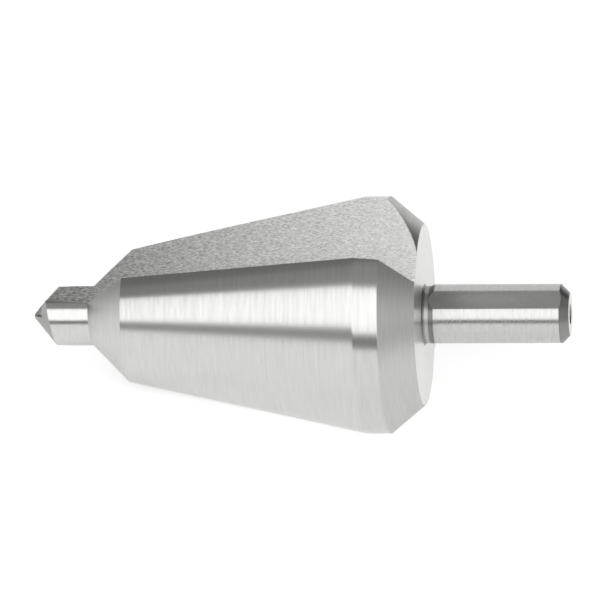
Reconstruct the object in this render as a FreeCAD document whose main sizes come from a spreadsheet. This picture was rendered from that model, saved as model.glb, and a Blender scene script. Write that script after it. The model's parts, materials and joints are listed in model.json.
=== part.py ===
# Cone drill bit for sheet metal: a pilot drill, a 45 degree front cone, a long
# main cone, a short cylinder and a rear chamfer, ground from one bar with its
# three-flat shank. Two straight flutes run the whole length of the head.
#
# The drill is modelled on its own axis, tip at the origin and shank towards +Z.
# Flute 0 faces +X: its floor is square to +X, and its cutting edge lies near +X.
# Angles round the axis count anticlockwise as seen from the shank. The drill
# turns clockwise, so each land trails its cutting edge anticlockwise.
# At the end the drill is laid down as it comes to rest on a flat surface.
import FreeCAD, Part
import itertools
import os

import Sketcher

os.makedirs("parts", exist_ok=True)
doc = FreeCAD.newDocument("ConeDrill")

# Driving dimensions, in millimetres and degrees
DRIVING = [
    ("pilot_diameter", 10, "across the cutting edges of the pilot"),
    ("pilot_length", 9.6, "tip to front cone"),
    ("small_diameter", 23, "front end of the main cone"),
    ("large_diameter", 40, "back end of the main cone, and the cylinder"),
    ("front_cone_angle", 45, "front cone, measured from the axis"),
    ("cone_length", 39.4, "main cone"),
    ("cylinder_length", 4.05, "cylinder behind the main cone"),
    ("rear_chamfer_length", 5.5, "chamfer behind the cylinder, along the axis"),
    ("rear_chamfer_angle", 40, "rear chamfer, measured from the axis"),
    ("shank_diameter", 10, "shank, on the round between its flats"),
    ("shank_length", 24, "rear face to end face"),
    ("neck_relief", 0.3, "neck below the shank's round, between rear face and shank"),
    ("neck_length", 1.0, "neck, along the axis"),
    ("neck_fillet", 0.4, "fillet at the root of the neck"),
    ("lead_chamfer_length", 0.85, "chamfer from neck to shank, along the axis"),
    ("end_chamfer", 1.5, "chamfer on the shank's end, 45 degrees"),
    ("flat_depth", 0.284, "each flat below the shank's round"),
    ("centre_hole_diameter", 1.6, "lathe centre in the shank's end"),
    ("centre_hole_depth", 3.6, "its depth, with the countersink"),
    ("countersink_diameter", 3.35, "its countersink, on the end face"),
    ("countersink_angle", 60, "the countersink's full angle"),
    ("web_thickness", 1.6, "between the two flute floors, at the tip"),
    ("corner_setback", 0.63, "flute corner behind the middle plane, at the tip"),
    ("flute_runout", 0.83, "flute floor below the rim of the rear face"),
    ("flute_skew", 1.93, "flute path, turned sideways from the axis"),
    ("hook_angle", 13.6, "rake wall, leaning over the flute"),
    ("corner_radius", 1.0, "between flute floor and rake wall"),
    ("land_offset", 0.267, "land centre off the axis, on the head"),
    ("pilot_offset", 0.05, "land centre off the axis, on the pilot"),
    ("offset_lead", 30, "land centre ahead of the cutting edge"),
    ("seam_lead", 5, "where one land takes over from the other, ahead of the cutting edge"),
    ("flank_angle", 58.65, "half angle of the cone that the point's flank lies on"),
    ("flank_lean", 8.3, "that cone's axis, leaned off the drill's axis"),
    ("flank_lead", 75, "direction of the lean ahead of the cutting edge"),
    ("tip_blunt", 0.25, "point ground back from its sharp apex"),
    ("chisel_width", 0.2, "chisel edge left between the two gashes"),
    ("gash_angle", 50, "gash floor, down from square to the axis"),
    ("gash_reach", 3, "length and width of the gash wheel's cut"),
]

# Radii, stations along the axis and angles that follow from the driving ones
DERIVED = [
    ("pilot_radius", "Size.pilot_diameter / 2"),
    ("small_radius", "Size.small_diameter / 2"),
    ("large_radius", "Size.large_diameter / 2"),
    ("shank_radius", "Size.shank_diameter / 2"),
    ("neck_radius", "shank_radius - Size.neck_relief"),
    ("flat_distance", "shank_radius - Size.flat_depth"),
    ("flange_radius", "shank_radius + Size.neck_fillet"),
    ("root_radius", "pilot_radius / 2"),
    ("hole_radius", "Size.centre_hole_diameter / 2"),
    ("sink_radius", "Size.countersink_diameter / 2"),
    ("root_start", "Size.pilot_length - (pilot_radius - root_radius) / tan(Size.front_cone_angle)"),
    ("cone_start", "Size.pilot_length + (small_radius - pilot_radius) / tan(Size.front_cone_angle)"),
    ("cone_end", "cone_start + Size.cone_length"),
    ("cylinder_end", "cone_end + Size.cylinder_length"),
    ("rear_face", "cylinder_end + Size.rear_chamfer_length"),
    ("neck_end", "rear_face + Size.neck_length"),
    ("shank_start", "neck_end + Size.lead_chamfer_length"),
    ("end_face", "rear_face + Size.shank_length"),
    ("sink_end", "end_face - (sink_radius - hole_radius) / tan(Size.countersink_angle / 2)"),
    ("hole_end", "end_face - Size.centre_hole_depth"),
    ("rear_radius", "large_radius - Size.rear_chamfer_length * tan(Size.rear_chamfer_angle)"),
    ("land_drop", "Size.land_offset * cos(Size.offset_lead)"),
    ("pilot_drop", "Size.pilot_offset * cos(Size.offset_lead)"),
    ("floor_at_tip", "Size.web_thickness / 2"),
    ("flute_angle", "atan((rear_radius - Size.flute_runout - floor_at_tip) / rear_face)"),
    ("gash_turn", "atan(Size.corner_setback / floor_at_tip) / 1 deg"),
    ("flank_height", "cone_start + Size.pilot_diameter"),
]

FLUTE_COUNT = 2
FLAT_COUNT = 3
FULL_TURN = 360  # degrees
HALF_TURN = 180  # degrees
SPIN = FULL_TURN / FLUTE_COUNT  # degrees from one cutting edge to the next
SLACK = 10 * Part.Precision.confusion()  # places closer than this, in millimetres, are the same place


def fill_sheet(name, rows):
    """A sheet with one named size a row: its words, then its cell and alias."""
    sheet = doc.addObject("Spreadsheet::Sheet", name)
    for number, (alias, content, words) in enumerate(rows, 1):
        sheet.set(f"A{number}", words)
        sheet.set(f"B{number}", content)
        sheet.setAlias(f"B{number}", alias)
    doc.recompute()
    return sheet


size = fill_sheet("Size", [(alias, str(value), words) for alias, value, words in DRIVING])
derived = fill_sheet("Derived", [(alias, "=" + formula, formula) for alias, formula in DERIVED])


def plain(quantity):
    """A size without its unit."""
    return getattr(quantity, "Value", quantity)


def outline(body, name, role, corners, lift="0"):
    """A closed outline of straight lines on one of the body's own planes, each corner
    held by two sizes."""
    sketch = body.newObject("Sketcher::SketchObject", name)
    sketch.AttachmentSupport = (next(f for f in body.Origin.OriginFeatures if f.Role == role), [""])
    sketch.MapMode = "FlatFace"
    sketch.setExpression("AttachmentOffset.Base.z", lift)
    places = []
    for corner in corners:
        across, along = (plain(sketch.evalExpression(text)) for text in corner)
        places.append(FreeCAD.Vector(across, along, 0))
    for start, end in zip(places, places[1:] + places[:1]):
        sketch.addGeometry(Part.LineSegment(start, end))
    start, end = 1, 2
    across_axis, up_axis = -1, -2
    for line, corner in enumerate(corners):
        line_before = (line - 1) % len(corners)
        sketch.addConstraint(Sketcher.Constraint("Coincident", line_before, end, line, start))
        ways = (("DistanceX", up_axis, places[line].x), ("DistanceY", across_axis, places[line].y))
        for text, (kind, axis, place) in zip(corner, ways):
            if text == "0":
                sketch.addConstraint(Sketcher.Constraint("PointOnObject", line, start, axis))
            else:
                origin = across_axis, start
                held = sketch.addConstraint(Sketcher.Constraint(kind, *origin, line, start, place))
                sketch.setExpression(f"Constraints[{held}]", text)
    return sketch


def feature(body, kind, name, **settings):
    """The body's next feature; settings given as text are bound to the sheets."""
    made = body.newObject(f"PartDesign::{kind}", name)
    for key, value in settings.items():
        if isinstance(value, str) and key in ("Length", "Angle", "Radius", "Size"):
            made.setExpression(key, value)
        else:
            setattr(made, key, value)
    doc.recompute()
    return made


def turned(body, kind, name, corners, angle=FULL_TURN):
    """Turns an outline of (radius, station) corners about the body's Z axis, evenly to both
    sides of its XZ plane. The kind is Revolution to add it, or Groove to cut it out."""
    sketch = outline(body, name + "_profile", "XZ_Plane", corners)
    axis = (sketch, ["V_Axis"])
    return feature(body, kind, name, Profile=sketch, ReferenceAxis=axis, Midplane=True, Angle=angle)


def place(made, x, y, z, *turns):
    """Binds an object's place: its origin, then turns about an axis letter, outermost first."""
    axes = {"x": "vector(1; 0; 0)", "y": "vector(0; 1; 0)", "z": "vector(0; 0; 1)"}
    spins = " * ".join(f"rotation({axes[axis]}; {angle})" for axis, angle in turns)
    made.setExpression("Placement", f"placement(vector({x}; {y}; {z}); {spins})")


def rounded(body, name, test, radius):
    """A fillet on those edges of the body so far that pass the test."""
    base = body.Tip
    edges = [f"Edge{number}" for number, edge in enumerate(base.Shape.Edges, 1) if test(edge)]
    return feature(body, "Fillet", name, Base=(base, edges), Radius=radius)


def land(side, name, corners, offset):
    """One ground land: its profile turned half way round about a centre just off the drill's
    axis, starting and ending where a flute is cut."""
    body = doc.addObject("PartDesign::Body", f"{name}_{side}")
    turned(body, "Revolution", f"{name}_ground_{side}", corners, HALF_TURN)
    centre = f"{side} * {SPIN} - Size.offset_lead"
    middle = f"{side} * {SPIN} - Size.seam_lead + {HALF_TURN} / 2"
    place(body, f"{offset} * cos({centre})", f"{offset} * sin({centre})", "0", ("z", middle))
    return body


def head_land(side):
    """Front cone, main cone, cylinder and rear chamfer, which fall away behind the cutting
    edge to give it clearance. The front cone's outline runs on into the pilot."""
    corners = [("0", "Derived.root_start")]
    for radius, station in (
        ("root_radius", "root_start"),
        ("small_radius", "cone_start"),
        ("large_radius", "cone_end"),
        ("large_radius", "cylinder_end"),
        ("rear_radius", "rear_face"),
    ):
        corners.append((f"Derived.{radius} - Derived.land_drop", f"Derived.{station}"))
    corners.append(("0", "Derived.rear_face"))
    return land(side, "head_land", corners, "Size.land_offset")


def pilot_land(side):
    """Half of the pilot drill, its end ground to a flank on a leaning cone."""
    radius = "Derived.pilot_radius - Derived.pilot_drop"
    corners = [("0", "0"), (radius, "0"), (radius, "Derived.cone_start"), ("0", "Derived.cone_start")]
    round_half = land(side, "pilot_land", corners, "Size.pilot_offset")
    flank = doc.addObject("Part::Cone", f"flank_{side}")
    flank.Radius1 = 0
    flank.setExpression("Radius2", "Derived.flank_height * tan(Size.flank_angle)")
    flank.setExpression("Height", "Derived.flank_height")
    lean = f"{side} * {SPIN} - Size.flank_lead"
    place(flank, "0", "0", "-Size.tip_blunt", ("z", lean), ("y", "Size.flank_lean"))
    ground = doc.addObject("Part::Common", f"pilot_half_{side}")
    ground.Base = round_half
    ground.Tool = flank
    return ground


def shank():
    """Neck and three-flat shank, with the lathe centre in its end."""
    body = doc.addObject("PartDesign::Body", "shank")
    turned(body, "Revolution", "bar", [
        ("0", "Derived.cylinder_end"),
        ("Derived.flange_radius", "Derived.cylinder_end"),
        ("Derived.flange_radius", "Derived.rear_face"),
        ("Derived.neck_radius", "Derived.rear_face"),
        ("Derived.neck_radius", "Derived.neck_end"),
        ("Derived.shank_radius", "Derived.shank_start"),
        ("Derived.shank_radius", "Derived.end_face - Size.end_chamfer"),
        ("Derived.shank_radius - Size.end_chamfer", "Derived.end_face"),
        ("0", "Derived.end_face"),
    ])

    def at_neck_root(edge):
        circle = edge.Curve
        return (
            isinstance(circle, Part.Circle)
            and abs(circle.Center.z - plain(derived.rear_face)) < SLACK
            and abs(circle.Radius - plain(derived.neck_radius)) < SLACK
        )

    rounded(body, "neck_root", at_neck_root, "Size.neck_fillet")
    flat_sketch = outline(body, "flat_outline", "XY_Plane", [
        ("Derived.flat_distance", "-Size.shank_diameter"),
        ("Size.shank_diameter", "-Size.shank_diameter"),
        ("Size.shank_diameter", "Size.shank_diameter"),
        ("Derived.flat_distance", "Size.shank_diameter"),
    ], lift="Derived.end_face")
    depth = "Derived.end_face - Derived.neck_end"
    flat = feature(body, "Pocket", "flat", Profile=flat_sketch, Length=depth)
    flats = body.newObject("PartDesign::PolarPattern", "flats")
    flats.Originals = [flat]
    flats.Axis = (flat_sketch, ["N_Axis"])
    flats.Occurrences = FLAT_COUNT
    body.Tip = flats
    turned(body, "Groove", "centre_hole", [
        ("0", "Derived.hole_end"),
        ("Derived.hole_radius", "Derived.hole_end + Derived.hole_radius"),
        ("Derived.hole_radius", "Derived.sink_end"),
        ("Derived.sink_radius", "Derived.end_face"),
        ("0", "Derived.end_face"),
    ])
    return body


def flute_wheel(side):
    """The space one flute is ground out of: a flat floor, a rounded corner and a hooked rake
    wall, along a path that runs out just below the rim of the rear face."""
    body = doc.addObject("PartDesign::Body", f"flute_wheel_{side}")
    sketch = outline(body, f"flute_section_{side}", "XY_Plane", [
        ("0", "Size.corner_setback"),
        ("Size.large_diameter", "Size.corner_setback - Size.large_diameter * tan(Size.hook_angle)"),
        ("Size.large_diameter", "-Size.large_diameter"),
        ("0", "-Size.large_diameter"),
    ], lift="-Size.pilot_length")
    feature(body, "Pad", f"flute_sweep_{side}", Profile=sketch, Length="2 * Derived.end_face")

    def at_corner(edge):
        setback = plain(size.corner_setback)
        return all(abs(end.X) < SLACK and abs(end.Y - setback) < SLACK for end in edge.Vertexes)

    rounded(body, f"flute_corner_{side}", at_corner, "Size.corner_radius")
    spin = f"{side} * {SPIN}"
    place(
        body, f"Derived.floor_at_tip * cos({spin})", f"Derived.floor_at_tip * sin({spin})", "0",
        ("z", spin), ("y", "Derived.flute_angle"), ("x", "-Size.flute_skew"),
    )
    return body


def gash_wheel(side):
    """The notch that splits the point: it carries the cutting edge in to the middle of the web."""
    wheel = doc.addObject("Part::Box", f"gash_wheel_{side}")
    for edge in ("Length", "Width", "Height"):
        wheel.setExpression(edge, "Size.gash_reach")
    turn = f"{side} * {SPIN} + Derived.gash_turn"
    place(
        wheel, f"Size.chisel_width / 2 * sin({turn})", f"-Size.chisel_width / 2 * cos({turn})", "0",
        ("z", turn), ("y", "-Size.gash_angle"), ("x", HALF_TURN),
    )
    return wheel


def joined(name, pieces):
    """One solid from several that overlap."""
    made = doc.addObject("Part::MultiFuse", name)
    made.Shapes = pieces
    made.Refine = True
    doc.recompute()
    return made


def cut_away(name, base, tool):
    """The base less the tool; it has to remove something."""
    made = doc.addObject("Part::Cut", name)
    made.Base = base
    made.Tool = tool
    made.Refine = True
    doc.recompute()
    if not made.Shape.Volume < base.Shape.Volume:
        raise RuntimeError(f"{name} cuts nothing")
    return made


def resting_place(solid, downward):
    """Where the drill lies: on three corners of its outline that all the others are above and
    its weight is between, the side nearest downward facing down, the tip towards -X, and the
    middle of its box over the origin."""
    points = [vertex.Point for vertex in solid.Vertexes]
    low = [point for point in points if point.dot(downward) > 0]
    weight = solid.CenterOfMass
    down = None
    for corners in itertools.combinations(low, 3):
        a, b, c = corners
        normal = (b - a).cross(c - a)
        if normal.Length < SLACK:
            continue
        normal.normalize()
        sides_of = ((a, b), (b, c), (c, a))
        if min((end - start).cross(weight - start).dot(normal) for start, end in sides_of) < 0:
            continue
        if normal.dot(downward) < 0:
            normal = -normal
        if max((point - a).dot(normal) for point in points) > SLACK:
            continue
        if down is None or normal.dot(downward) > down.dot(downward):
            down = normal
    up = -down
    axis = FreeCAD.Vector(0, 0, 1)
    ahead = (axis - up * axis.dot(up)).normalize()
    turn = FreeCAD.Rotation(ahead, up.cross(ahead), up).inverted()
    laid = solid.copy()
    laid.Placement = FreeCAD.Placement(FreeCAD.Vector(), turn)
    box = laid.optimalBoundingBox(False)
    return FreeCAD.Placement(FreeCAD.Vector(-box.Center.x, -box.Center.y, -box.ZMin), turn)


sides = range(FLUTE_COUNT)
lands = [land_of(side) for land_of in (head_land, pilot_land) for side in sides]
blank = joined("blank", [*lands, shank()])
drill = blank
for side in sides:
    drill = cut_away(f"fluted_{side}", drill, flute_wheel(side))
for side in sides:
    drill = cut_away(f"split_{side}", drill, gash_wheel(side))
drill.Label = "cone_drill"

under_flute = FreeCAD.Rotation(FreeCAD.Vector(0, 0, 1), HALF_TURN - plain(size.offset_lead))
downward = under_flute.multVec(FreeCAD.Vector(1, 0, 0))
drill.Placement = resting_place(drill.Shape.Solids[0], downward)
doc.recompute()

for item in doc.Objects:
    if {"Invalid", "Error"} & set(item.State):
        raise RuntimeError(f"{item.Label} failed: {item.State}")
if drill.Shape.isNull() or not drill.Shape.isValid() or len(drill.Shape.Solids) != 1:
    raise RuntimeError("the drill isn't one sound solid")
drill.Shape.exportStep(f"parts/{drill.Label}.step")
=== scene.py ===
import json
import math

import bpy
from mathutils import Matrix, Vector


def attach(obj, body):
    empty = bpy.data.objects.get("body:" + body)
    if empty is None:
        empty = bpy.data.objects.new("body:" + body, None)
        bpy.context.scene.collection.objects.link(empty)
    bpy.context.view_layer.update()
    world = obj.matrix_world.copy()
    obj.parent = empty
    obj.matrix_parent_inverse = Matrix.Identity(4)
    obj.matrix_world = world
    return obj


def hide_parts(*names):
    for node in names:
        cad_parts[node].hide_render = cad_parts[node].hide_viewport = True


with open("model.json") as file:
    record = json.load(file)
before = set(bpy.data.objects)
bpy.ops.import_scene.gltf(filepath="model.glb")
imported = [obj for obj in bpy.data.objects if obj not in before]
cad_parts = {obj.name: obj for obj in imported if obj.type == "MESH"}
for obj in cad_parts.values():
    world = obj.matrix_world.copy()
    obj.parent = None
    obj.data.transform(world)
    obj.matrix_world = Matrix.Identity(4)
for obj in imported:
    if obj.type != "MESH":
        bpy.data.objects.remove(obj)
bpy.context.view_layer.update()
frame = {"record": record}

# The cone drill bit: one bar of high-speed steel, turned, fluted and then ground all
# over on its lands and shank. Lengths here are millimetres along and across the
# drill's own axis, tip at nought and shank towards +Z, as a grinder's drawing has them.
OVERALL_LENGTH = 89.05
PILOT_RADIUS, PILOT_END = 5.0, 9.6
CONE_START, CONE_START_RADIUS = 16.1, 11.5
CONE_END, CONE_END_RADIUS = 55.5, 20.0
CYLINDER_END = 59.55
REAR_FACE, REAR_FACE_RADIUS = 65.05, 15.385
NECK_RADIUS, NECK_FILLET, NECK_END = 4.7, 0.4, 66.05
SHANK_RADIUS, SHANK_START, END_CHAMFER = 5.0, 66.9, 1.5
COUNTERSINK_RADIUS, COUNTERSINK_DEPTH = 1.675, 1.516
CENTRE_HOLE_RADIUS, CENTRE_HOLE_DEPTH = 0.8, 3.6
LAND_OFFSET, PILOT_OFFSET, LAND_LEAD = 0.267, 0.05, math.radians(30)
WEB_THICKNESS, CORNER_SETBACK, HOOK_ANGLE, FLUTE_REACH = 1.6, 0.63, math.radians(13.6), 40.0
CHISEL_WIDTH = 0.2
FLAT_DISTANCE, FLAT_CUTTER_WIDTH = 4.716, 8.0
CUTTER_OVERRUN = 2.0
ROUNDING_STEPS = 6

mounts = {mount["name"]: mount for mount in frame["record"]["mounts"]}
axis = Vector(mounts["shank_end"]["axis"])
across = Vector(mounts["shank_flat_0"]["axis"])
middle_of_hole = Vector(mounts["centre_hole"]["pos_m"])
end_face = Vector(mounts["shank_end"]["pos_m"])
tip = middle_of_hole + axis * ((end_face - middle_of_hole).dot(axis) - OVERALL_LENGTH / 1000)
sideways = axis.cross(across)
laid_down = Matrix((across, sideways, axis)).transposed().to_4x4()
laid_down.translation = tip


def turned_outline():
    """The outline from tip to centre hole, its corners rounded. A corner is its radius at the
    cutting edge, its station, its land's relief, its share of the way out on the flank (-1
    off the flank), how far the foot of the front cone slides with the relief, and its
    rounding."""
    corners = [(0.0, 0.0, 0.0, -1.0, 0.0, 0.0)]
    corners += [(PILOT_RADIUS, 0.0, PILOT_OFFSET, share, 0.0, 0.0) for share in (0.0, 0.15, 0.4, 0.7, 1.0)]
    corners += [
        (PILOT_RADIUS, PILOT_END, PILOT_OFFSET, -1.0, LAND_OFFSET - PILOT_OFFSET, 0.0),
        (CONE_START_RADIUS, CONE_START, LAND_OFFSET, -1.0, 0.0, 0.06),
        (CONE_END_RADIUS, CONE_END, LAND_OFFSET, -1.0, 0.0, 1.2),
        (CONE_END_RADIUS, CYLINDER_END, LAND_OFFSET, -1.0, 0.0, 0.12),
        (REAR_FACE_RADIUS, REAR_FACE, LAND_OFFSET, -1.0, 0.0, 0.08),
        (NECK_RADIUS, REAR_FACE, 0.0, -1.0, 0.0, NECK_FILLET),
        (NECK_RADIUS, NECK_END, 0.0, -1.0, 0.0, 0.0),
        (SHANK_RADIUS, SHANK_START, 0.0, -1.0, 0.0, 0.06),
        (SHANK_RADIUS, OVERALL_LENGTH - END_CHAMFER, 0.0, -1.0, 0.0, 0.1),
        (SHANK_RADIUS - END_CHAMFER, OVERALL_LENGTH, 0.0, -1.0, 0.0, 0.08),
        (COUNTERSINK_RADIUS, OVERALL_LENGTH, 0.0, -1.0, 0.0, 0.04),
        (CENTRE_HOLE_RADIUS, OVERALL_LENGTH - COUNTERSINK_DEPTH, 0.0, -1.0, 0.0, 0.0),
        (CENTRE_HOLE_RADIUS, OVERALL_LENGTH - CENTRE_HOLE_DEPTH + CENTRE_HOLE_RADIUS, 0.0, -1.0, 0.0, 0.0),
        (0.0, OVERALL_LENGTH - CENTRE_HOLE_DEPTH, 0.0, -1.0, 0.0, 0.0),
    ]
    ready = []
    for number, (radius, station, offset, share, slide, rounding) in enumerate(corners):
        here = Vector((radius, station))
        spots = [here]
        if rounding:
            back = (Vector(corners[number - 1][:2]) - here).normalized()
            on = (Vector(corners[number + 1][:2]) - here).normalized()
            half = back.angle(on) / 2
            centre = here + (back + on).normalized() * rounding / math.sin(half)
            start = here + back * rounding / math.tan(half) - centre
            end = here + on * rounding / math.tan(half) - centre
            spots = [
                centre + start.lerp(end, step / ROUNDING_STEPS).normalized() * rounding
                for step in range(ROUNDING_STEPS + 1)
            ]
        for spot in spots:
            ready.append((spot.x - offset * math.cos(LAND_LEAD), spot.y, offset, share, slide))
    return ready


def add(tree, kind, settings=None, inputs=None):
    """Adds a node with its settings. An input is a number or colour, or a node or socket to link."""
    made = tree.nodes.new(kind)
    for name, value in (settings or {}).items():
        setattr(made, name, value)
    for key, given in (inputs or {}).items():
        socket = made.inputs[key]
        for source in given if isinstance(given, list) else [given]:
            if isinstance(source, bpy.types.Node):
                source = source.outputs[0]
            if isinstance(source, bpy.types.NodeSocket):
                tree.links.new(source, socket)
            else:
                socket.default_value = source
    return made


def linear(colour):
    """An sRGB hex colour as Blender's linear red, green, blue and alpha."""
    parts = [int(colour[place : place + 2], 16) / 255 for place in (1, 3, 5)]
    return (*[p / 12.92 if p <= 0.04045 else ((p + 0.055) / 1.055) ** 2.4 for p in parts], 1.0)


def drill_place():
    """Where a point of the steel is: along the drill from its tip, and out from its axis."""
    group = bpy.data.node_groups.new("place_on_drill", "ShaderNodeTree")
    for name in ("Along", "Out", "Round", "Station", "Radius"):
        kind = "NodeSocketFloat" if name in ("Station", "Radius") else "NodeSocketVector"
        group.interface.new_socket(name, in_out="OUTPUT", socket_type=kind)
    place = add(group, "ShaderNodeTexCoord")
    millimetres = add(
        group, "ShaderNodeVectorMath", {"operation": "SUBTRACT"}, {0: place.outputs["Object"], 1: tip}
    )
    millimetres = add(group, "ShaderNodeVectorMath", {"operation": "SCALE"}, {0: millimetres, 3: 1000.0})
    along = add(group, "ShaderNodeVectorMath", {"operation": "PROJECT"}, {0: millimetres, 1: axis})
    out = add(group, "ShaderNodeVectorMath", {"operation": "SUBTRACT"}, {0: millimetres, 1: along})
    round_about = add(group, "ShaderNodeVectorMath", {"operation": "NORMALIZE"}, {0: out})
    station = add(group, "ShaderNodeVectorMath", {"operation": "DOT_PRODUCT"}, {0: millimetres, 1: axis})
    radius = add(group, "ShaderNodeVectorMath", {"operation": "LENGTH"}, {0: out})
    add(group, "NodeGroupOutput", {}, {
        "Along": along, "Out": out, "Round": round_about,
        "Station": station.outputs["Value"], "Radius": radius.outputs["Value"],
    })
    return group


place_on_drill = drill_place()
# The marks' noise runs from dark at MARKS_LOW to bright at MARKS_HIGH. A finish with painted
# brightening along the drill has the middle of that painted shade half-way along the head, 32 mm from the
# tip.
MARKS_LOW, MARKS_HIGH, FINE_SHARE = 0.45, 1.05, 0.5
PAINTED_SHADE_MIDDLE = 32.0


def steel_finish(name, dark, bright, lines, tangent, anisotropy, turn, roughness, depth, painted_brightening=0.0):
    """High-speed steel with tool marks. Lines are (socket they follow, its scale, socket they cross,
    its scale) for coarse and fine marks. The two roughnesses are for its bright and its dark side;
    depth is how deep the bump reads, in metres. Painted brightening is how far the finish goes
    from its dark to its bright side in a millimetre along the drill, a painted shade in its
    colour that its roughness follows."""
    material = bpy.data.materials.new(name)
    material.use_nodes = True
    tree = material.node_tree
    tree.nodes.clear()
    place = add(tree, "ShaderNodeGroup", {"node_tree": place_on_drill})
    marks = []
    for follow, follow_scale, cross, cross_scale in lines:
        run = add(tree, "ShaderNodeVectorMath", {"operation": "SCALE"}, {
            0: place.outputs[follow], 3: follow_scale,
        })
        step = add(tree, "ShaderNodeMath", {"operation": "MULTIPLY"}, {
            0: place.outputs[cross], 1: cross_scale,
        })
        marks.append(add(tree, "ShaderNodeTexNoise", {"noise_dimensions": "4D"}, {
            "Vector": run, "W": step, "Scale": 1.0, "Detail": 2.0, "Roughness": 0.6,
        }))
    coarse, fine = marks
    both = add(tree, "ShaderNodeMath", {"operation": "MULTIPLY_ADD"}, {0: fine, 1: FINE_SHARE, 2: coarse})
    shade = both
    # Painted shade along the drill: the tone goes from dark towards the tip to bright towards the shank.
    if painted_brightening:
        from_painted_middle = add(tree, "ShaderNodeMath", {"operation": "SUBTRACT"}, {
            0: place.outputs["Station"], 1: PAINTED_SHADE_MIDDLE,
        })
        shade = add(tree, "ShaderNodeMath", {"operation": "MULTIPLY_ADD"}, {
            0: from_painted_middle, 1: painted_brightening, 2: both,
        })
    shade = add(tree, "ShaderNodeMapRange", {}, {
        "Value": shade, "From Min": MARKS_LOW, "From Max": MARKS_HIGH,
    })
    colour = add(tree, "ShaderNodeMix", {"data_type": "RGBA"}, {
        0: shade, 6: linear(dark), 7: linear(bright),
    })
    gloss = add(tree, "ShaderNodeMapRange", {}, {
        "Value": shade, "To Min": roughness[1], "To Max": roughness[0],
    })
    bump = add(tree, "ShaderNodeBump", {}, {"Height": both, "Strength": 1.0, "Distance": depth})
    steel = add(tree, "ShaderNodeBsdfPrincipled", {}, {
        "Base Color": colour.outputs[2], "Metallic": 1.0, "Roughness": gloss, "Normal": bump,
        "Anisotropic": anisotropy, "Anisotropic Rotation": turn, "Tangent": place.outputs[tangent],
        "Specular Tint": linear("#ebebeb"),
    })
    add(tree, "ShaderNodeOutputMaterial", {}, {"Surface": steel})
    return material


# Ground lands: a fine wheel leaves hair lines round the drill every few hundredths of
# a millimetre, drawn here 0.1 to 0.5 mm apart so that they show. They blur a reflection
# along the drill and leave it crisp round it.
ground_land = steel_finish(
    "ground_high_speed_steel_land", "#c6c6c4", "#d0d0ce",
    lines=[("Round", 3.0, "Station", 2.2), ("Round", 9.0, "Station", 8.0)],
    tangent="Along", anisotropy=0.75, turn=0.0, roughness=(0.215, 0.265), depth=0.0000008,
)
# Cylinder behind the main cone: ground in a pass of its own, so a shade darker.
ground_cylinder = steel_finish(
    "ground_high_speed_steel_cylinder", "#c2c2c0", "#cececc",
    lines=[("Round", 3.0, "Station", 2.2), ("Round", 9.0, "Station", 8.0)],
    tangent="Along", anisotropy=0.65, turn=0.0, roughness=(0.205, 0.255), depth=0.0000008,
)
# Front cone, rear chamfer and neck: turned and only lightly ground, so satin, with fine
# lines round the drill 0.1 to 0.2 mm apart. The front cone has its own copy of the finish
# whose lighter colour is painted light.
turned_front_cone_painted_light = steel_finish(
    "turned_high_speed_steel_front_cone_painted_light", "#c6c6c4", "#d4d4d2",
    lines=[("Round", 2.0, "Station", 5.0), ("Round", 6.0, "Station", 9.0)],
    tangent="Along", anisotropy=0.4, turn=0.0, roughness=(0.36, 0.44), depth=0.000002,
)
turned_chamfer = steel_finish(
    "turned_high_speed_steel_chamfer", "#bcbcba", "#cacac8",
    lines=[("Round", 2.0, "Station", 5.0), ("Round", 6.0, "Station", 9.0)],
    tangent="Along", anisotropy=0.4, turn=0.0, roughness=(0.36, 0.44), depth=0.000002,
)
# Flutes: cut by a coarse wheel that runs the length of the drill, so rough marks 0.1 mm
# thick and about a millimetre long lie along it and the surface looks satin. Their colour
# carries a painted shade, dark towards the tip and bright towards the shank.
ground_flute_painted_shade = steel_finish(
    "coarse_ground_high_speed_steel_flute_painted_shade", "#727270", "#fcfcfa",
    lines=[("Out", 8.0, "Station", 0.7), ("Out", 18.0, "Station", 1.4)],
    tangent="Along", anisotropy=0.4, turn=0.25, roughness=(0.6, 0.46), depth=0.000028, painted_brightening=0.0065,
)
# Rear and end faces: turned bright, with rings 0.1 to 0.3 mm apart round the axis. Their
# near-white colour, lighter than any other steel here, is a painted reflection.
turned_face_painted_reflection = steel_finish(
    "turned_high_speed_steel_face_painted_reflection", "#eaeae8", "#f4f4f2",
    lines=[("Round", 1.5, "Radius", 3.5), ("Round", 4.0, "Radius", 9.0)],
    tangent="Out", anisotropy=0.4, turn=0.0, roughness=(0.26, 0.34), depth=0.0000012,
)
# Shank: ground between centres, with fine lines round it.
ground_shank = steel_finish(
    "ground_high_speed_steel_shank", "#bdbdbb", "#c9c9c7",
    lines=[("Round", 2.0, "Station", 2.5), ("Round", 4.0, "Station", 9.0)],
    tangent="Along", anisotropy=0.6, turn=0.0, roughness=(0.22, 0.3), depth=0.0000008,
)
# Fillet at the neck's root, lead chamfer and end chamfer: left as turned, so duller than the
# shank. Their dark colour is painted shade, the shade in the recess at the neck's root, and the
# two chamfers share it.
turned_relief_painted_shade = steel_finish(
    "turned_high_speed_steel_relief_painted_shade", "#848482", "#949492",
    lines=[("Round", 2.0, "Station", 4.0), ("Round", 4.0, "Station", 9.0)],
    tangent="Along", anisotropy=0.3, turn=0.0, roughness=(0.3, 0.38), depth=0.0000012,
)
# Flanks of the point: backed off on a fine wheel, a shade duller than the lands.
ground_point = steel_finish(
    "ground_high_speed_steel_point", "#9c9c9a", "#a8a8a6",
    lines=[("Round", 3.0, "Station", 3.0), ("Round", 6.0, "Station", 8.0)],
    tangent="Along", anisotropy=0.3, turn=0.0, roughness=(0.3, 0.38), depth=0.000001,
)
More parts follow.
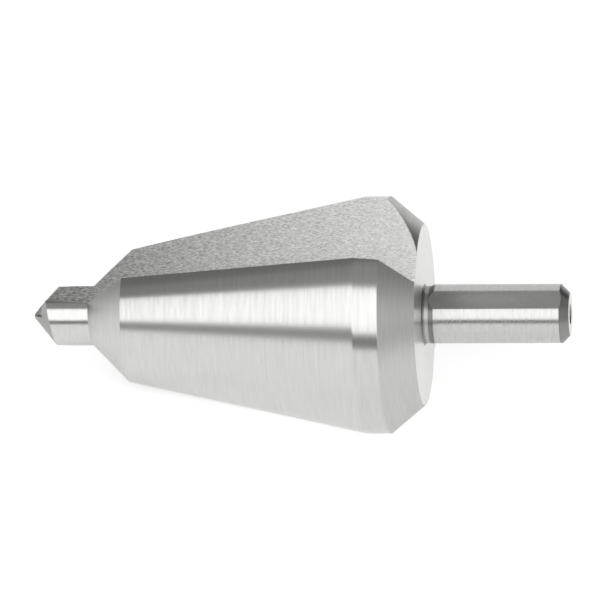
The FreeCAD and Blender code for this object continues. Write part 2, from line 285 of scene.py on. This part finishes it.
# Flats: ground dry by the side of a wheel, so they are matt grey.
ground_flat = steel_finish(
    "matt_ground_high_speed_steel_flat", "#b6b6b4", "#c2c2c0",
    lines=[("Round", 6.0, "Station", 0.8), ("Round", 20.0, "Station", 4.0)],
    tangent="Along", anisotropy=0.3, turn=0.0, roughness=(0.46, 0.54), depth=0.000002,
)

# The net and the cutters are welded over these distances. A face of the point looks more
# towards the tip than FLANK_FACING, a rear or end face straight at the shank, and an edge
# that bends by more than CREASE_ANGLE stays crisp.
NET_WELD, CUTTER_WELD = 0.0005, 0.0001
FLANK_FACING, END_FACING, CREASE_ANGLE = -0.3, 0.999, math.radians(20)
FLUTE_CORNER_STEPS = 14


def drill_tree():
    """Turns the outline about Z, easing each land in behind its cutting edge, then takes
    out the flutes, the gashes that split the point, and the flats."""
    tree = bpy.data.node_groups.new("ground_cone_drill", "GeometryNodeTree")
    tree.interface.new_socket("Geometry", in_out="INPUT", socket_type="NodeSocketGeometry")
    gash_turn = math.atan2(CORNER_SETBACK, WEB_THICKNESS / 2)
    sizes = {
        "Angle steps": 720, "Flutes": 2, "Flats": 3,
        "Seam turn": math.radians(-5), "Land centre turn": -LAND_LEAD,
        "Flank angle": math.radians(58.65), "Flank lean": math.radians(8.3), "Flank turn": math.radians(45),
        "Tip blunt": 0.25,
        "Front cone start": PILOT_END, "Main cone start": CONE_START, "Cylinder start": CONE_END,
        "Rear chamfer start": CYLINDER_END, "Fillet start": REAR_FACE,
        "Neck start": REAR_FACE + NECK_FILLET, "Lead chamfer start": NECK_END, "Shank start": SHANK_START,
        "End chamfer start": OVERALL_LENGTH - END_CHAMFER,
        "Flute corner": (0.0, CORNER_SETBACK, 0.0),
        "Flute wall end": (FLUTE_REACH, CORNER_SETBACK - FLUTE_REACH * math.tan(HOOK_ANGLE), 0.0),
        "Flute outside": (FLUTE_REACH, -FLUTE_REACH, 0.0),
        "Flute floor end": (0.0, -FLUTE_REACH, 0.0),
        "Flute corner radius": 1.0, "Flute length": OVERALL_LENGTH,
        "Flute tilt": (math.radians(-1.93), math.radians(11.94), 0.0),
        "Flute foot": (WEB_THICKNESS / 2, 0.0, 0.0),
        "Gash size": (3.0, 3.0, 3.0), "Gash turn": (math.pi, math.radians(-50), gash_turn),
        "Gash foot": (CHISEL_WIDTH / 2 * math.sin(gash_turn), -CHISEL_WIDTH / 2 * math.cos(gash_turn), 0.0),
        "Flat size": (SHANK_RADIUS, FLAT_CUTTER_WIDTH, OVERALL_LENGTH - NECK_END + CUTTER_OVERRUN),
        "Flat foot": (
            FLAT_DISTANCE + SHANK_RADIUS / 2, 0.0, (OVERALL_LENGTH + NECK_END + CUTTER_OVERRUN) / 2,
        ),
    }
    sockets = {int: "NodeSocketInt", float: "NodeSocketFloat", tuple: "NodeSocketVector"}
    for name, value in sizes.items():
        tree.interface.new_socket(name, in_out="INPUT", socket_type=sockets[type(value)])
    tree.interface.new_socket("Geometry", in_out="OUTPUT", socket_type="NodeSocketGeometry")
    given = add(tree, "NodeGroupInput").outputs

    # The net: one column of corners for each step round the drill.
    count = add(tree, "GeometryNodeAttributeDomainSize", {"component": "MESH"}, {0: given["Geometry"]})
    columns = add(tree, "ShaderNodeMath", {"operation": "ADD"}, {0: given["Angle steps"], 1: 1.0})
    net = add(tree, "GeometryNodeMeshGrid", {}, {"Vertices X": columns, "Vertices Y": count})
    index = add(tree, "GeometryNodeInputIndex")
    column = add(tree, "ShaderNodeMath", {"operation": "DIVIDE"}, {0: index, 1: count})
    column = add(tree, "ShaderNodeMath", {"operation": "FLOOR"}, {0: column})
    corner = add(tree, "ShaderNodeMath", {"operation": "MODULO"}, {0: index, 1: count})
    here = add(tree, "GeometryNodeSampleIndex", {"data_type": "FLOAT_VECTOR"}, {
        0: given["Geometry"], 1: add(tree, "GeometryNodeInputPosition"), 2: corner,
    })
    here = add(tree, "ShaderNodeSeparateXYZ", {}, {0: here}).outputs
    offset, share, slide = [
        add(tree, "GeometryNodeSampleIndex", {"data_type": "FLOAT"}, {
            0: given["Geometry"], 2: corner,
            1: add(tree, "GeometryNodeInputNamedAttribute", {"data_type": "FLOAT"}, {0: name}),
        })
        for name in ("offset", "share", "slide")
    ]

    # The lands: their radius eases in behind the cutting edge as a relief grinder's cam gives it.
    step = add(tree, "ShaderNodeMath", {"operation": "DIVIDE"}, {0: math.tau, 1: given["Angle steps"]})
    angle = add(tree, "ShaderNodeMath", {"operation": "MULTIPLY_ADD"}, {
        0: column, 1: step, 2: given["Seam turn"],
    })
    land_turn = add(tree, "ShaderNodeMath", {"operation": "DIVIDE"}, {0: math.tau, 1: given["Flutes"]})
    land_steps = add(tree, "ShaderNodeMath", {"operation": "DIVIDE"}, {
        0: given["Angle steps"], 1: given["Flutes"],
    })
    land = add(tree, "ShaderNodeMath", {"operation": "DIVIDE"}, {0: column, 1: land_steps})
    land = add(tree, "ShaderNodeMath", {"operation": "FLOOR"}, {0: land})
    centre_turn = add(tree, "ShaderNodeMath", {"operation": "MULTIPLY_ADD"}, {
        0: land, 1: land_turn, 2: given["Land centre turn"],
    })
    from_centre = add(tree, "ShaderNodeMath", {"operation": "SUBTRACT"}, {0: angle, 1: centre_turn})
    toward = add(tree, "ShaderNodeMath", {"operation": "COSINE"}, {0: from_centre})
    land_radius = add(tree, "ShaderNodeMath", {"operation": "MULTIPLY_ADD"}, {
        0: toward, 1: offset, 2: here["X"],
    })
    eased = add(tree, "ShaderNodeMath", {"operation": "COSINE"}, {0: given["Land centre turn"]})
    eased = add(tree, "ShaderNodeMath", {"operation": "SUBTRACT"}, {0: eased, 1: toward})
    land_station = add(tree, "ShaderNodeMath", {"operation": "MULTIPLY_ADD"}, {
        0: eased, 1: slide, 2: here["Z"],
    })

    # The point: a blunt cone that falls away behind each cutting lip.
    lean = add(tree, "ShaderNodeMath", {"operation": "ADD"}, {0: from_centre, 1: given["Flank turn"]})
    lean = add(tree, "ShaderNodeMath", {"operation": "COSINE"}, {0: lean})
    flank_angle = add(tree, "ShaderNodeMath", {"operation": "MULTIPLY_ADD"}, {
        0: lean, 1: given["Flank lean"], 2: given["Flank angle"],
    })
    fall = add(tree, "ShaderNodeMath", {"operation": "TANGENT"}, {0: flank_angle})
    blunt = add(tree, "ShaderNodeMath", {"operation": "MULTIPLY"}, {0: fall, 1: given["Tip blunt"]})
    flank_radius = add(tree, "ShaderNodeMapRange", {}, {
        "Value": share, "To Min": blunt, "To Max": land_radius,
    })
    rise = add(tree, "ShaderNodeMath", {"operation": "DIVIDE"}, {0: flank_radius, 1: fall})
    flank_station = add(tree, "ShaderNodeMath", {"operation": "SUBTRACT"}, {0: rise, 1: given["Tip blunt"]})
    on_flank = add(tree, "ShaderNodeMath", {"operation": "GREATER_THAN"}, {0: share, 1: -0.5})
    radius = add(tree, "ShaderNodeMix", {"data_type": "FLOAT"}, {
        0: on_flank, 2: land_radius, 3: flank_radius,
    })
    station = add(tree, "ShaderNodeMix", {"data_type": "FLOAT"}, {
        0: on_flank, 2: land_station, 3: flank_station,
    })
    spot = add(tree, "ShaderNodeVectorRotate", {"rotation_type": "Z_AXIS"}, {
        "Vector": add(tree, "ShaderNodeCombineXYZ", {}, {"X": radius, "Z": station}), "Angle": angle,
    })
    shaped = add(tree, "GeometryNodeSetPosition", {}, {"Geometry": net, "Position": spot})
    closed = add(tree, "GeometryNodeMergeByDistance", {}, {"Geometry": shaped, "Distance": NET_WELD})

    # The finishes along the drill.
    station = add(tree, "ShaderNodeSeparateXYZ", {}, {0: add(tree, "GeometryNodeInputPosition")})
    station = station.outputs["Z"]
    body = add(tree, "GeometryNodeSetMaterial", {}, {"Geometry": closed, "Material": ground_land})
    for begins, finish in (
        ("Front cone start", turned_front_cone_painted_light), ("Main cone start", ground_land),
        ("Cylinder start", ground_cylinder), ("Rear chamfer start", turned_chamfer),
        ("Fillet start", turned_relief_painted_shade), ("Neck start", turned_chamfer),
        ("Lead chamfer start", turned_relief_painted_shade), ("Shank start", ground_shank),
        ("End chamfer start", turned_relief_painted_shade),
    ):
        beyond = add(tree, "ShaderNodeMath", {"operation": "GREATER_THAN"}, {0: station, 1: given[begins]})
        body = add(tree, "GeometryNodeSetMaterial", {}, {
            "Geometry": body, "Selection": beyond, "Material": finish,
        })

    facing = add(tree, "ShaderNodeSeparateXYZ", {}, {0: add(tree, "GeometryNodeInputNormal")})
    facing = facing.outputs["Z"]
    flank = add(tree, "ShaderNodeMath", {"operation": "LESS_THAN"}, {0: station, 1: PILOT_END})
    flank = add(tree, "ShaderNodeMath", {"operation": "MULTIPLY"}, {
        0: flank, 1: add(tree, "ShaderNodeMath", {"operation": "LESS_THAN"}, {0: facing, 1: FLANK_FACING}),
    })
    body = add(tree, "GeometryNodeSetMaterial", {}, {
        "Geometry": body, "Selection": flank, "Material": ground_point,
    })

    # The cutters: a flute is a flat floor, a rounded corner and a hooked wall, swept straight.
    section = add(tree, "GeometryNodeCurvePrimitiveQuadrilateral", {"mode": "POINTS"}, {
        "Point 1": given["Flute corner"], "Point 2": given["Flute wall end"],
        "Point 3": given["Flute outside"], "Point 4": given["Flute floor end"],
    })
    first = add(tree, "ShaderNodeMath", {"operation": "LESS_THAN"}, {
        0: add(tree, "GeometryNodeInputIndex"), 1: 0.5,
    })
    rounding = add(tree, "ShaderNodeMath", {"operation": "MULTIPLY"}, {
        0: first, 1: given["Flute corner radius"],
    })
    section = add(tree, "GeometryNodeFilletCurve", {"mode": "POLY"}, {
        "Curve": section, "Count": FLUTE_CORNER_STEPS, "Radius": rounding,
    })
    front = add(tree, "GeometryNodeFillCurve", {"mode": "NGONS"}, {"Curve": section})
    swept = add(tree, "GeometryNodeExtrudeMesh", {"mode": "FACES"}, {
        "Mesh": front, "Offset": (0.0, 0.0, 1.0), "Offset Scale": given["Flute length"],
    })
    back = add(tree, "GeometryNodeFlipFaces", {}, {0: front})
    flute = add(tree, "GeometryNodeMergeByDistance", {}, {
        "Geometry": add(tree, "GeometryNodeJoinGeometry", {}, {0: [swept, back]}), "Distance": CUTTER_WELD,
    })
    flute = add(tree, "GeometryNodeTransform", {}, {
        "Geometry": flute, "Translation": (0.0, 0.0, -CUTTER_OVERRUN),
    })
    flute = add(tree, "GeometryNodeTransform", {}, {
        "Geometry": flute, "Rotation": given["Flute tilt"], "Translation": given["Flute foot"],
    })
    half_gash = add(tree, "ShaderNodeVectorMath", {"operation": "SCALE"}, {
        0: given["Gash size"], "Scale": 0.5,
    })
    gash = add(tree, "GeometryNodeTransform", {}, {
        "Geometry": add(tree, "GeometryNodeMeshCube", {}, {"Size": given["Gash size"]}),
        "Translation": half_gash,
    })
    gash = add(tree, "GeometryNodeTransform", {}, {
        "Geometry": gash, "Rotation": given["Gash turn"], "Translation": given["Gash foot"],
    })
    flat = add(tree, "GeometryNodeTransform", {}, {
        "Geometry": add(tree, "GeometryNodeMeshCube", {}, {"Size": given["Flat size"]}),
        "Translation": given["Flat foot"],
    })
    for cutter, number, finish in (
        (flute, "Flutes", ground_flute_painted_shade), (gash, "Flutes", ground_flute_painted_shade), (flat, "Flats", ground_flat),
    ):
        cutter = add(tree, "GeometryNodeSetMaterial", {}, {"Geometry": cutter, "Material": finish})
        part_turn = add(tree, "ShaderNodeMath", {"operation": "DIVIDE"}, {0: math.tau, 1: given[number]})
        turn = add(tree, "ShaderNodeMath", {"operation": "MULTIPLY"}, {
            0: add(tree, "GeometryNodeInputIndex"), 1: part_turn,
        })
        placed = add(tree, "GeometryNodeInstanceOnPoints", {}, {
            "Points": add(tree, "GeometryNodePoints", {}, {"Count": given[number]}),
            "Instance": cutter, "Rotation": add(tree, "ShaderNodeCombineXYZ", {}, {"Z": turn}),
        })
        body = add(tree, "GeometryNodeMeshBoolean", {"operation": "DIFFERENCE", "solver": "EXACT"}, {
            "Mesh 1": body, "Mesh 2": add(tree, "GeometryNodeRealizeInstances", {}, {0: placed}),
        })

    # Ground faces meet in crisp edges; the rear and end faces get their turned finish with its painted
    # reflection.
    bend = add(tree, "GeometryNodeInputMeshEdgeAngle")
    sharp = add(tree, "ShaderNodeMath", {"operation": "GREATER_THAN"}, {0: bend, 1: CREASE_ANGLE})
    smooth = add(tree, "GeometryNodeSetShadeSmooth", {"domain": "FACE"}, {"Geometry": body})
    crisp = add(tree, "GeometryNodeSetShadeSmooth", {"domain": "EDGE"}, {
        "Geometry": smooth, "Selection": sharp, "Shade Smooth": False,
    })
    finished = add(tree, "GeometryNodeSetMaterial", {}, {
        "Geometry": add(tree, "GeometryNodeRealizeInstances", {}, {0: crisp}), "Material": turned_face_painted_reflection,
        "Selection": add(tree, "ShaderNodeMath", {"operation": "GREATER_THAN"}, {0: facing, 1: END_FACING}),
    })
    add(tree, "NodeGroupOutput", {}, {"Geometry": finished})
    return tree, sizes


outline = turned_outline()
outline_mesh = bpy.data.meshes.new("drill_outline")
outline_mesh.from_pydata([(corner[0], 0.0, corner[1]) for corner in outline], [], [])
for place, name in enumerate(("offset", "share", "slide"), 2):
    values = [corner[place] for corner in outline]
    outline_mesh.attributes.new(name, "FLOAT", "POINT").data.foreach_set("value", values)
drill = bpy.data.objects.new("ground_drill", outline_mesh)
bpy.context.scene.collection.objects.link(drill)
shaping = drill.modifiers.new("shaping", "NODES")
shaping.node_group, shaping_sizes = drill_tree()
for socket in shaping.node_group.interface.items_tree:
    if socket.in_out == "INPUT" and socket.name in shaping_sizes:
        shaping[socket.identifier] = shaping_sizes[socket.name]
depsgraph = bpy.context.evaluated_depsgraph_get()
ground_mesh = bpy.data.meshes.new_from_object(drill.evaluated_get(depsgraph), depsgraph=depsgraph)
drill.modifiers.remove(shaping)
drill.data = ground_mesh
ground_mesh.transform(laid_down @ Matrix.Scale(0.001, 4))
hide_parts("cone_drill")
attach(drill, "root")

# Studio table and wall: smooth white board, floor and back in one. The camera and the
# steel see it as plain white, and it keeps the drill's shadow.
TABLE_HALF, WALL_DISTANCE, WALL_HEIGHT = 6.0, 1.5, 1.5
BOARD_GLOW = 0.59
table_top = bpy.data.meshes.new("table_top")
table_top.from_pydata(
    [
        (x, y, z)
        for y, z in ((-TABLE_HALF, 0), (WALL_DISTANCE, 0), (WALL_DISTANCE, WALL_HEIGHT))
        for x in (-TABLE_HALF, TABLE_HALF)
    ],
    [], [(0, 1, 3, 2), (2, 3, 5, 4)],
)
table = bpy.data.objects.new("studio_table", table_top)
bpy.context.scene.collection.objects.link(table)
board = bpy.data.materials.new("white_laminate_board")
board.use_nodes = True
board_tree = board.node_tree
board_tree.nodes.clear()
rays = add(board_tree, "ShaderNodeLightPath").outputs
seen = add(board_tree, "ShaderNodeMath", {"operation": "MAXIMUM"}, {
    0: rays["Is Camera Ray"], 1: rays["Is Glossy Ray"],
})
glow = add(board_tree, "ShaderNodeEmission", {}, {
    "Color": linear("#ffffff"),
    "Strength": add(board_tree, "ShaderNodeMath", {"operation": "MULTIPLY"}, {0: seen, 1: BOARD_GLOW}),
})
matt = add(board_tree, "ShaderNodeBsdfDiffuse", {}, {"Color": linear("#e6e6e6")})
add(board_tree, "ShaderNodeOutputMaterial", {}, {
    "Surface": add(board_tree, "ShaderNodeAddShader", {}, {0: glow, 1: matt}),
})
table_top.materials.append(board)

# Black flags: two felt cards that stand out of the picture, past the tip and behind the
# shank, and that only the steel's reflections see. They darken the upper side of the
# front cone and the far end of the rear chamfer.
felt = bpy.data.materials.new("black_felt")
felt.use_nodes = True
felt.node_tree.nodes.clear()
add(felt.node_tree, "ShaderNodeOutputMaterial", {}, {
    "Surface": add(felt.node_tree, "ShaderNodeBsdfDiffuse", {}, {"Color": linear("#161616")}),
})
for name, left_foot, right_foot, bottom, top in (
    ("tip_flag", (-0.2, 0.03), (-0.2, 0.4), 0.0, 0.16),
    ("shank_flag", (0.12, 0.385), (0.34, 0.25), 0.07, 0.3),
):
    card = bpy.data.meshes.new(name)
    card.from_pydata(
        [(*foot, height) for height in (bottom, top) for foot in (left_foot, right_foot)],
        [], [(0, 1, 3, 2)],
    )
    card.materials.append(felt)
    flag = bpy.data.objects.new(name, card)
    flag.visible_camera = flag.visible_shadow = flag.visible_diffuse = False
    bpy.context.scene.collection.objects.link(flag)

# Light: a large softbox on the camera's side, a small one over the far side, and weak
# panels overhead and at the shank's end, in a grey room. A lamp's line is its azimuth and
# height in degrees, its distance, width and height in metres, and its power in watts.
HALF_WAY = 0.0445
drill_middle = tip + axis * HALF_WAY
for name, azimuth, height, distance, width, tall, power in (
    ("softbox", -3, 36.1, 1.4, 3.3, 1.13, 17.8),
    ("overhead_panel", 2, 74.5, 1.2, 2.4, 0.44, 0.55),
    ("end_panel", 80, 18, 1.3, 0.9, 0.56, 0.75),
    ("far_softbox", 228, 38, 0.6, 0.25, 0.3, 0.68),
):
    azimuth, height = math.radians(azimuth), math.radians(height)
    towards = Vector((
        math.sin(azimuth) * math.cos(height), -math.cos(azimuth) * math.cos(height), math.sin(height),
    ))
    light = bpy.data.lights.new(name, "AREA")
    light.shape = "RECTANGLE"
    light.size, light.size_y = width, tall
    light.energy = power
    lamp = bpy.data.objects.new(name, light)
    lamp.location = drill_middle + towards * distance
    lamp.rotation_euler = towards.to_track_quat("Z", "Y").to_euler()
    bpy.context.scene.collection.objects.link(lamp)

ROOM_GLOW = 0.21
room = bpy.data.worlds.new("grey_room")
room.use_nodes = True
room.node_tree.nodes.clear()
add(room.node_tree, "ShaderNodeOutputWorld", {}, {
    "Surface": add(room.node_tree, "ShaderNodeBackground", {}, {
        "Color": linear("#ffffff"), "Strength": ROOM_GLOW,
    }),
})
bpy.context.scene.world = room

# Camera: a long lens about a metre away, square to the drill but for a small turn
# towards its tip, looking down on it.
CAMERA_YAW, CAMERA_ROLL = math.radians(7.91), math.radians(0.203)
FLUTE_TURN = math.radians(29.83)
CAMERA_DISTANCE, LENS, SENSOR_WIDTH, FARTHEST_SEEN = 1.011, 368.2, 36, 50
AIM_ABOVE, AIM_TIPWARD = 0.002481, 0.000166
outward = across * math.cos(FLUTE_TURN) + sideways * math.sin(FLUTE_TURN)
upward = across * math.sin(FLUTE_TURN) - sideways * math.cos(FLUTE_TURN)
from_drill = outward * math.cos(CAMERA_YAW) + axis * math.sin(CAMERA_YAW)
rightward = axis * math.cos(CAMERA_YAW) - outward * math.sin(CAMERA_YAW)
picture_right = rightward * math.cos(CAMERA_ROLL) - upward * math.sin(CAMERA_ROLL)
picture_up = upward * math.cos(CAMERA_ROLL) + rightward * math.sin(CAMERA_ROLL)
camera_place = drill_middle + from_drill * CAMERA_DISTANCE
aim = drill_middle + picture_up * AIM_ABOVE - picture_right * AIM_TIPWARD
back = (camera_place - aim).normalized()
right = picture_up.cross(back).normalized()
camera_data = bpy.data.cameras.new("camera")
camera_data.lens = LENS
camera_data.sensor_width = SENSOR_WIDTH
camera_data.clip_end = FARTHEST_SEEN
camera = bpy.data.objects.new("camera", camera_data)
camera_turn = Matrix((right, back.cross(right), back)).transposed().to_4x4()
camera.matrix_world = Matrix.Translation(camera_place) @ camera_turn
bpy.context.scene.collection.objects.link(camera)
bpy.context.scene.camera = camera
bpy.context.scene.view_settings.view_transform = "Standard"
